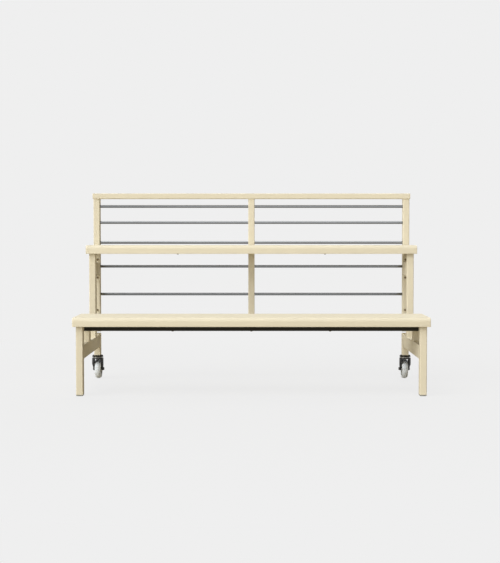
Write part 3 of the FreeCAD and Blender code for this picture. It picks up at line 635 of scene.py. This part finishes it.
# Rubber: dead matt and nearly black, greyer where bloom has come up in patches a few mm across.
bloom = add(tree, "ShaderNodeTexNoise", {"Vector": place, "Scale": 1 / 0.006, "Detail": 3.0})
tint = add(tree, "ShaderNodeMix", {0: bloom, 6: linear("#1f1f1e"), 7: linear("#2f2f2d")},
           data_type="RGBA")
relief = add(tree, "ShaderNodeBump", {"Height": bloom, "Strength": 0.3, "Distance": 0.0002})
plug(tree, shader, {"Base Color": tint.outputs[2], "Roughness": 0.75, "Normal": relief, "IOR": 1.52})
BUFFER_DEPTH, BUFFER_PLATE, BUFFER_EDGE, BUFFER_STEPS = 0.01, 0.002, 0.0006, 11
buffers = []
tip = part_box("post_buffers")[LOW].z
for name in both("back_post"):
    low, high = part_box(name)
    middle, half = centred(low, high)
    plate = low.z - BUFFER_PLATE
    profile = [(CAP_PLUG_INSET, low.z + BUFFER_DEPTH), (CAP_PLUG_INSET, low.z), (0.0, low.z),
               (0.0, plate + BUFFER_EDGE), (BUFFER_EDGE, plate)]
    nose = [(0.0078, plate), (0.007, plate - BUFFER_EDGE), (0.0064, tip + BUFFER_EDGE), (0.0052, tip),
            (0.001, tip)]
    rings = tube_rings(middle, half.x, half.y, profile, 0.5, BUFFER_STEPS)
    rings += [ring(middle, radius, radius, radius, height, BUFFER_STEPS) for radius, height in nose]
    buffers.append(skin("buffer", rings, black_rubber))
finish_piece(joined_piece("back_post_buffers", buffers), "table_frame", "black_rubber", "post_buffers")

# Table board
# The same folded tray as the seat, two thirds as deep, between the table legs and the back posts. Its
# rear lip rests on an angle at the middle post.
table_tray = tray("table_tray", *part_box("table_board"))
finish_piece(table_tray, "table_frame", "board_paint", "table_board")

# Casters: cups and bearings
# A pressed steel cup, black coated, seats against each caster post's plate. Below it a ring of steel
# balls runs between two plated races, and a dark kingpin holds fork, bearing and cup to the plate.
dark_zinc, tree, shader, place = start_material("black_passivated_zinc_plate")
# Black-passivated zinc: a smoky brown-grey metal, duller than bright zinc, uneven in 3 mm patches.
smoke = add(tree, "ShaderNodeTexNoise", {"Vector": place, "Scale": 1 / 0.003, "Detail": 3.0})
tint = add(tree, "ShaderNodeMix", {0: smoke, 6: linear("#44423d"), 7: linear("#59564f")},
           data_type="RGBA")
gloss = add(tree, "ShaderNodeMapRange", {"Value": smoke, "To Min": 0.38, "To Max": 0.52})
plug(tree, shader, {"Base Color": tint.outputs[2], "Roughness": gloss, "Metallic": 1.0})
coat(dark_zinc, "kingpins")

ball_tree, group = new_tree("bearing_balls", Count="Int", Ring="Float", Ball="Float", Material="Material")
loop = add(ball_tree, "GeometryNodeMeshCircle", {"Vertices": group["Count"], "Radius": group["Ring"]})
ball = add(ball_tree, "GeometryNodeMeshIcoSphere", {"Radius": group["Ball"], "Subdivisions": 2})
placed = add(ball_tree, "GeometryNodeInstanceOnPoints", {"Points": loop, "Instance": ball})
whole = add(ball_tree, "GeometryNodeRealizeInstances", {"Geometry": placed})
rings_on = add(ball_tree, "GeometryNodeInstanceOnPoints",
               {"Points": group["Geometry"], "Instance": whole})
smooth = add(ball_tree, "GeometryNodeSetShadeSmooth", {"Geometry": rings_on})
end_tree(ball_tree, smooth, group["Material"])

BORE = 0.0061
# The cup's pressed edge as (inset from its side, height above its foot).
CUP_EDGE = [(0.0022, 0.0), (0.0006, 0.0007), (0.0, 0.0022), (0.0, 0.004)]
CUP_TAPER, CUP_SHOULDER, CUP_SHOULDER_HEIGHT, CUP_STEPS = 0.0012, 0.006, 0.0045, 6
RACE_PLATE, RACE_EDGE = 0.0016, 0.0004
BALL, BALL_INSET, BALL_COUNT = 0.0011, 0.0016, 40
swivels, races = {}, []
race_low, race_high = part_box("bearing_rings")
race_radius = (race_high.y - race_low.y) / 2
for side in SIDES:
    low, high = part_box("caster_cup_" + side)
    middle, radius = (low + high) / 2, (high.x - low.x) / 2
    swivels[side] = Vector((middle.x, middle.y, 0))
    on_swivel = Matrix.Translation(swivels[side])
    profile = [(BORE, low.z)] + [(radius - inset, low.z + rise) for inset, rise in CUP_EDGE]
    profile += [(radius - CUP_TAPER - CUP_SHOULDER * gone, high.z - CUP_SHOULDER_HEIGHT * left)
                for gone, left in quarter(CUP_STEPS)]
    profile.append((BORE, high.z))
    cup = turned("caster_cup_pressing_" + side, profile, black_coat, joined=True)
    cup.data.transform(on_swivel)
    finish_piece(cup, "base", "black_steel", "caster_cup_" + side)
    for bottom in (race_low.z, race_high.z - RACE_PLATE):
        top = bottom + RACE_PLATE
        race = turned("race", [(BORE, bottom), (race_radius - RACE_EDGE, bottom),
                               (race_radius, bottom + RACE_EDGE), (race_radius, top - RACE_EDGE),
                               (race_radius - RACE_EDGE, top), (BORE, top)], zinc_plate, joined=True)
        race.data.transform(on_swivel)
        races.append(race)
ball_height = (race_low.z + race_high.z) / 2
balls = grow_tree("bearing_balls", [(swivel.x, swivel.y, ball_height) for swivel in swivels.values()], [],
                  ball_tree, Count=BALL_COUNT, Ring=race_radius - BALL_INSET, Ball=BALL,
                  Material=zinc_plate)
finish_piece(balls, "base", "zinc_steel")
finish_piece(joined_piece("bearing_races", races), "base", "zinc_steel", "bearing_rings")

# Caster forks
# Injection-moulded in black glass-filled nylon: a round crown, and two arms that sweep back and narrow
# down to bosses for the axle. Every edge is eased for the mould.
black_nylon, tree, shader, place = start_material("black_glass_filled_nylon_moulded")
# Glass-filled nylon: charcoal with a dull sheen, and pale flow streaks of fibre, drawn 4 mm wide.
flow = add(tree, "ShaderNodeMapping", {"Vector": place, "Scale": (1 / 0.004, 1 / 0.004, 1 / 0.02)})
fibre = add(tree, "ShaderNodeTexNoise", {"Vector": flow, "Scale": 1.0, "Detail": 4.0})
grain = add(tree, "ShaderNodeTexNoise", {"Vector": place, "Scale": 1 / 0.001, "Detail": 1.0})
tint = add(tree, "ShaderNodeMix", {0: fibre, 6: linear("#191918"), 7: linear("#282826")},
           data_type="RGBA")
relief = add(tree, "ShaderNodeBump", {"Height": grain, "Strength": 0.4, "Distance": 0.0002})
plug(tree, shader, {"Base Color": tint.outputs[2], "Roughness": 0.48, "Normal": relief,
                    "IOR": 1.53, "Specular IOR Level": 0.35})
TRAIL, AXLE_HEIGHT = 0.036, 0.054
# Half the gap between the arms, half the width over their bosses, and half the fork's width at its
# tail; then the radius of an arm's end, of a boss, and of the rounding under the crown.
ARM_GAP, ARM_FACE, HALF_TAIL = 0.019, 0.0255, 0.024
ARM_END, BOSS, GUSSET = 0.008, 0.010, 0.008
CROWN_THICKNESS = 0.0047
END_STEPS, CROWN_STEPS, GUSSET_STEPS = 12, 32, 8
MOULD_EDGE, MOULD_EDGE_ANGLE = 0.0009, math.radians(32)
AXLE_LINE = Matrix.Translation((0, TRAIL, AXLE_HEIGHT)) @ Matrix.Rotation(math.pi / 2, 4, "Y")


def prism(outline, near, far, place_point):
    """Solid between two copies of an outline, each point put in place by a function."""
    return skin("prism", [[place_point(*point, depth) for point in outline] for depth in (near, far)],
                black_nylon)


for side, swivel in swivels.items():
    low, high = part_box("caster_fork_" + side)
    crown = (high.x - low.x) / 2
    crown_top = high.z
    crown_bottom = crown_top - CROWN_THICKNESS
    side_view = [(-crown, crown_bottom), (-crown, crown_top), (crown, crown_top),
                 (TRAIL + ARM_END, AXLE_HEIGHT)]
    for step in range(1, END_STEPS + 1):
        angle = math.pi * step / END_STEPS
        side_view.append((TRAIL + ARM_END * math.cos(angle), AXLE_HEIGHT - ARM_END * math.sin(angle)))
    plan = [(HALF_TAIL, TRAIL + ARM_END), (-HALF_TAIL, TRAIL + ARM_END)]
    for step in range(CROWN_STEPS + 1):
        angle = math.pi * (1 + step / CROWN_STEPS)
        plan.append((crown * math.cos(angle), crown * math.sin(angle)))
    opening = [(-ARM_GAP, 0.0), (ARM_GAP, 0.0)]
    opening += [(ARM_GAP - GUSSET * gone, crown_bottom - GUSSET * left)
                for gone, left in quarter(GUSSET_STEPS)]
    opening += [(-x, z) for x, z in opening[:1:-1]]
    fork = prism(side_view, -2 * crown, 2 * crown, lambda y, z, depth: (depth, y, z))
    boolean(fork, "INTERSECT", prism(plan, 0.0, 1.0, lambda x, y, depth: (x, y, depth)))
    boolean(fork, "DIFFERENCE", prism(opening, -2 * crown, 2 * crown, lambda x, z, depth: (x, depth, z)))
    # A boss is added on each arm, and then both outer faces are cut back level.
    for operation, start, end in (
            ("UNION", -ARM_FACE, -ARM_GAP), ("UNION", ARM_GAP, ARM_FACE),
            ("DIFFERENCE", -2 * ARM_FACE, -ARM_FACE), ("DIFFERENCE", ARM_FACE, 2 * ARM_FACE)):
        boss = turned("boss", [(BOSS, start), (BOSS, end)], black_nylon)
        boss.data.transform(AXLE_LINE)
        boolean(fork, operation, boss)
    eased = fork.modifiers.new("eased", "BEVEL")
    eased.width = MOULD_EDGE
    eased.segments = 2
    eased.limit_method = "ANGLE"
    eased.angle_limit = MOULD_EDGE_ANGLE
    settle(fork)
    fork.data.transform(Matrix.Translation(swivel))
    piece = shaded("caster_fork_moulding_" + side, fork.data)
    bpy.data.objects.remove(fork)
    finish_piece(piece, "caster_fork_" + side, "black_steel", "caster_fork_" + side)

# Caster axles
# A flanged bolt with a nut, plated like the kingpins, through both arms and the wheel. The head is on
# the outer side of the bench, the nut on the inner.
AXLE_BOLT = [(0.0042, 0.058), (0.005, 0.0572), (0.005, 0.0), (0.0096, 0.0), (0.0099, -0.0004),
             (0.0097, -0.0008), (0.0088, -0.0014), (0.0092, -0.0016, 0.016), (0.0092, -0.0047, 0.016),
             (0.0084, -0.0054, 0.016), (0.007, -0.0055), (0.0063, -0.0052), (0.001, -0.0051)]
AXLE_NUT = [(0.00502, 0.0), (0.0084, 0.0, 0.016), (0.0092, 0.0007, 0.016), (0.0092, 0.0053, 0.016),
            (0.0084, 0.006, 0.016), (0.0062, 0.006), (0.00502, 0.0054)]
for side, swivel in swivels.items():
    sign = SIDES[side]
    bolt = turned("bolt", AXLE_BOLT, dark_zinc)
    nut = turned("nut", AXLE_NUT, dark_zinc, joined=True)
    nut.data.transform(Matrix.Translation((0, 0, 2 * ARM_FACE)))
    axle = joined_piece("axle_bolt_" + side, [bolt, nut])
    head_seat = swivel + Vector((sign * ARM_FACE, TRAIL, AXLE_HEIGHT))
    axle.data.transform(Matrix.Translation(head_seat) @ turn_out(-sign))
    finish_piece(axle, "caster_fork_" + side, "zinc_steel", "caster_axle_" + side)

# Caster wheels
# A centre of the glides' grey polyethylene with boss, web, rim and six ribs on each face, and a pale
# thermoplastic rubber tread moulded round the rim, with a rounded crown and two fine mould lines.
tread, tree, shader, place = start_material("grey_thermoplastic_rubber_moulded")
# Thermoplastic rubber: pale cool grey and matt, a little greyer where it has rolled, in 8 mm clouds.
worn = add(tree, "ShaderNodeTexNoise", {"Vector": place, "Scale": 1 / 0.008, "Detail": 3.0})
grain = add(tree, "ShaderNodeTexNoise", {"Vector": place, "Scale": 1 / 0.0012, "Detail": 1.0})
tint = add(tree, "ShaderNodeMix", {0: worn, 6: linear("#d8dfe5"), 7: linear("#e2e8ed")},
           data_type="RGBA")
relief = add(tree, "ShaderNodeBump", {"Height": grain, "Strength": 0.35, "Distance": 0.0002})
plug(tree, shader, {"Base Color": tint.outputs[2], "Roughness": 0.62, "Normal": relief,
                    "IOR": 1.5, "Specular IOR Level": 0.3})

rib_tree, group = new_tree("hub_ribs", Count="Int", Inner="Float", Outer="Float", Width="Float",
                           Thickness="Float", Material="Material")
span = add(rib_tree, "ShaderNodeMath", {0: group["Outer"], 1: group["Inner"]}, operation="SUBTRACT")
size = add(rib_tree, "ShaderNodeCombineXYZ", {"X": span, "Y": group["Thickness"], "Z": group["Width"]})
rib = add(rib_tree, "GeometryNodeMeshCube", {"Size": size})
total = add(rib_tree, "ShaderNodeMath", {0: group["Outer"], 1: group["Inner"]}, operation="ADD")
centre = add(rib_tree, "ShaderNodeMath", {0: total, 1: 0.5}, operation="MULTIPLY")
shift = add(rib_tree, "ShaderNodeCombineXYZ", {"X": centre})
set_out = add(rib_tree, "GeometryNodeTransform", {"Geometry": rib, "Translation": shift})
copies = add(rib_tree, "GeometryNodePoints", {"Count": group["Count"]})
index = add(rib_tree, "GeometryNodeInputIndex")
share = add(rib_tree, "ShaderNodeMath", {0: math.tau, 1: group["Count"]}, operation="DIVIDE")
angle = add(rib_tree, "ShaderNodeMath", {0: index, 1: share}, operation="MULTIPLY")
turn = add(rib_tree, "ShaderNodeCombineXYZ", {"Z": angle})
fan = add(rib_tree, "GeometryNodeInstanceOnPoints",
          {"Points": copies, "Instance": set_out, "Rotation": turn})
end_tree(rib_tree, fan, group["Material"])

HUB_BORE, BOSS_RADIUS, RIM_INNER, RIM_OUTER = 0.00505, 0.011, 0.035, 0.039
HALF_BOSS, HALF_RIM, HALF_WEB = 0.0175, 0.0135, 0.003
HUB_EDGE, WEB_DRAFT, WEB_FILLET = 0.0006, 0.0008, 0.0015
RIB_ROOT, RIB_SHORT, RIB_THICKNESS, RIB_COUNT = 0.0005, 0.002, 0.003, 6
TREAD_RISE, TREAD_STEPS = 0.007, 12
FLANK_DISH, FLANK_EDGE, FLANK_EASE = 0.003, 0.001, 0.0002
MOULD_LINE, MOULD_LINE_STEP = 0.0005, 4
# Each side of the wheel is drawn as (radius, distance from its middle plane).
HUB_SIDE = [(RIM_OUTER, HALF_RIM), (RIM_INNER + HUB_EDGE, HALF_RIM), (RIM_INNER, HALF_RIM - HUB_EDGE),
            (RIM_INNER - WEB_DRAFT, HALF_WEB + WEB_FILLET), (RIM_INNER - WEB_DRAFT - WEB_FILLET, HALF_WEB),
            (BOSS_RADIUS + WEB_DRAFT + WEB_FILLET, HALF_WEB),
            (BOSS_RADIUS + WEB_DRAFT, HALF_WEB + WEB_FILLET), (BOSS_RADIUS, HALF_BOSS - HUB_EDGE),
            (BOSS_RADIUS - HUB_EDGE, HALF_BOSS), (HUB_BORE, HALF_BOSS)]


def other_side(half_section):
    """The half of a wheel's section beyond its middle plane, drawn on from the first half."""
    return [(reach, -along) for reach, along in reversed(half_section)]


for side, swivel in swivels.items():
    on_axle = Matrix.Translation(swivel) @ AXLE_LINE
    centre_piece = turned("centre", HUB_SIDE + other_side(HUB_SIDE), grey_plastic, joined=True)
    ribs = grow_tree("ribs", [(0, 0, 0)], [], rib_tree, Count=RIB_COUNT, Inner=BOSS_RADIUS - RIB_ROOT,
                     Outer=RIM_INNER + RIB_ROOT, Width=2 * (HALF_RIM - RIB_SHORT), Thickness=RIB_THICKNESS,
                     Material=grey_plastic)
    hub = joined_piece("wheel_centre_" + side, [centre_piece, ribs])
    hub.data.transform(on_axle)
    finish_piece(hub, "caster_wheel_" + side, "grey_plastic", "wheel_hub_" + side)
    low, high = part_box("wheel_tyre_" + side)
    radius, half_width = (high.z - low.z) / 2, (high.x - low.x) / 2
    shoulder = radius - TREAD_RISE
    crown_radius = (half_width ** 2 + TREAD_RISE ** 2) / (2 * TREAD_RISE)
    tyre_side = [(RIM_OUTER, half_width - FLANK_DISH), (shoulder - FLANK_EDGE, half_width - FLANK_EASE),
                 (shoulder, half_width)]
    for step in range(1, TREAD_STEPS):
        along = half_width * (1 - step / TREAD_STEPS)
        reach = radius - crown_radius + math.sqrt(crown_radius ** 2 - along ** 2)
        tyre_side.append((reach - MOULD_LINE if step == MOULD_LINE_STEP else reach, along))
    tyre = turned("wheel_tread_" + side, tyre_side + [(radius, 0.0)] + other_side(tyre_side), tread,
                  joined=True)
    tyre.data.transform(on_axle)
    finish_piece(tyre, "caster_wheel_" + side, "grey_rubber", "wheel_tyre_" + side)

# Floor, light and camera
# A sheet of pale paper under the bench with the same tone all round it, and four wide lamps. The
# camera stands straight in front, a little higher than the table board, and looks slightly down.
BACKGROUND = linear("#efefef")
FLOOR_HALF, FLOOR_DROP = 14.0, 0.0003
SHADOW_SHARE, SHADOW_NEAR, SHADOW_FAR = 0.1, 1.2, 3.2
EYE, LOOK_DOWN, LOOK_LEFT = (0, -6.63, 0.8215), 2.236, 0.065
FOCAL_LENGTH, SENSOR_WIDTH = 79.25, 36


def looked_at(tree):
    """1 where a surface is seen by the camera, in a reflection or through glass, and 0 where it lights."""
    rays = add(tree, "ShaderNodeLightPath").outputs
    seen = rays["Is Camera Ray"]
    for kind in ("Is Glossy Ray", "Is Transmission Ray"):
        seen = add(tree, "ShaderNodeMath", {0: seen, 1: rays[kind]}, operation="MAXIMUM")
    return seen


floor_mesh = bpy.data.meshes.new("floor")
floor_mesh.from_pydata([(x * FLOOR_HALF, y * FLOOR_HALF, -FLOOR_DROP)
                        for x, y in ((-1, -1), (1, -1), (1, 1), (-1, 1))], [], [(0, 1, 2, 3)])
floor = bpy.data.objects.new("floor", floor_mesh)
bpy.context.scene.collection.objects.link(floor)
paper, tree, shader, place = start_material("pale_studio_paper")
floor_mesh.materials.append(paper)
tree.nodes.remove(shader)
# Paper: shows its own even tone, with a trace of the bench's shadow that fades out round it, and
# throws a warmer light back up on the bench.
reach = add(tree, "ShaderNodeVectorMath", {0: place}, operation="LENGTH")
near = add(tree, "ShaderNodeMapRange",
           {"Value": reach.outputs["Value"], "From Min": SHADOW_NEAR, "From Max": SHADOW_FAR,
            "To Min": SHADOW_SHARE, "To Max": 0.0}, interpolation_type="SMOOTHSTEP")
lit = add(tree, "ShaderNodeBsdfDiffuse", {"Color": linear("#d8d8d8")})
even_light = add(tree, "ShaderNodeEmission", {"Color": BACKGROUND})
shown = add(tree, "ShaderNodeMixShader", {0: near, 1: even_light, 2: lit})
bounce = add(tree, "ShaderNodeBsdfDiffuse", {"Color": linear("#b8ad96")})
both_ways = add(tree, "ShaderNodeMixShader", {0: looked_at(tree), 1: bounce, 2: shown})
plug(tree, tree.nodes["Material Output"], {"Surface": both_ways})

world = bpy.data.worlds.new("studio")
bpy.context.scene.world = world
world.use_nodes = True
tree = world.node_tree
room = add(tree, "ShaderNodeBackground", {"Color": linear("#fff1d4"), "Strength": 0.1})
backdrop = add(tree, "ShaderNodeBackground", {"Color": BACKGROUND, "Strength": 1.0})
mixed = add(tree, "ShaderNodeMixShader", {0: looked_at(tree), 1: room, 2: backdrop})
plug(tree, tree.nodes["World Output"], {"Surface": mixed})

for name, strength, spread, direction in (
        ("key_softbox", 2.2, 45, (-0.80, -0.58, 0.12)),
        ("overhead_softbox", 2.5, 60, (-0.30, -0.45, 0.84)),
        ("rear_softbox", 1.2, 60, (0.0, 0.7, 0.7)),
        ("fill_softbox", 0.25, 24, (0.12, -0.98, 0.08))):
    lamp = bpy.data.lights.new(name, "SUN")
    lamp.energy = strength
    lamp.angle = math.radians(spread)
    softbox = bpy.data.objects.new(name, lamp)
    softbox.rotation_euler = Vector(direction).to_track_quat("Z", "Y").to_euler()
    bpy.context.scene.collection.objects.link(softbox)

lens = bpy.data.cameras.new("camera")
lens.lens = FOCAL_LENGTH
lens.sensor_width = SENSOR_WIDTH
camera = bpy.data.objects.new("camera", lens)
camera.location = EYE
camera.rotation_euler = (math.radians(90 - LOOK_DOWN), 0, math.radians(LOOK_LEFT))
bpy.context.scene.collection.objects.link(camera)
bpy.context.scene.camera = camera
bpy.context.scene.view_settings.view_transform = "Standard"
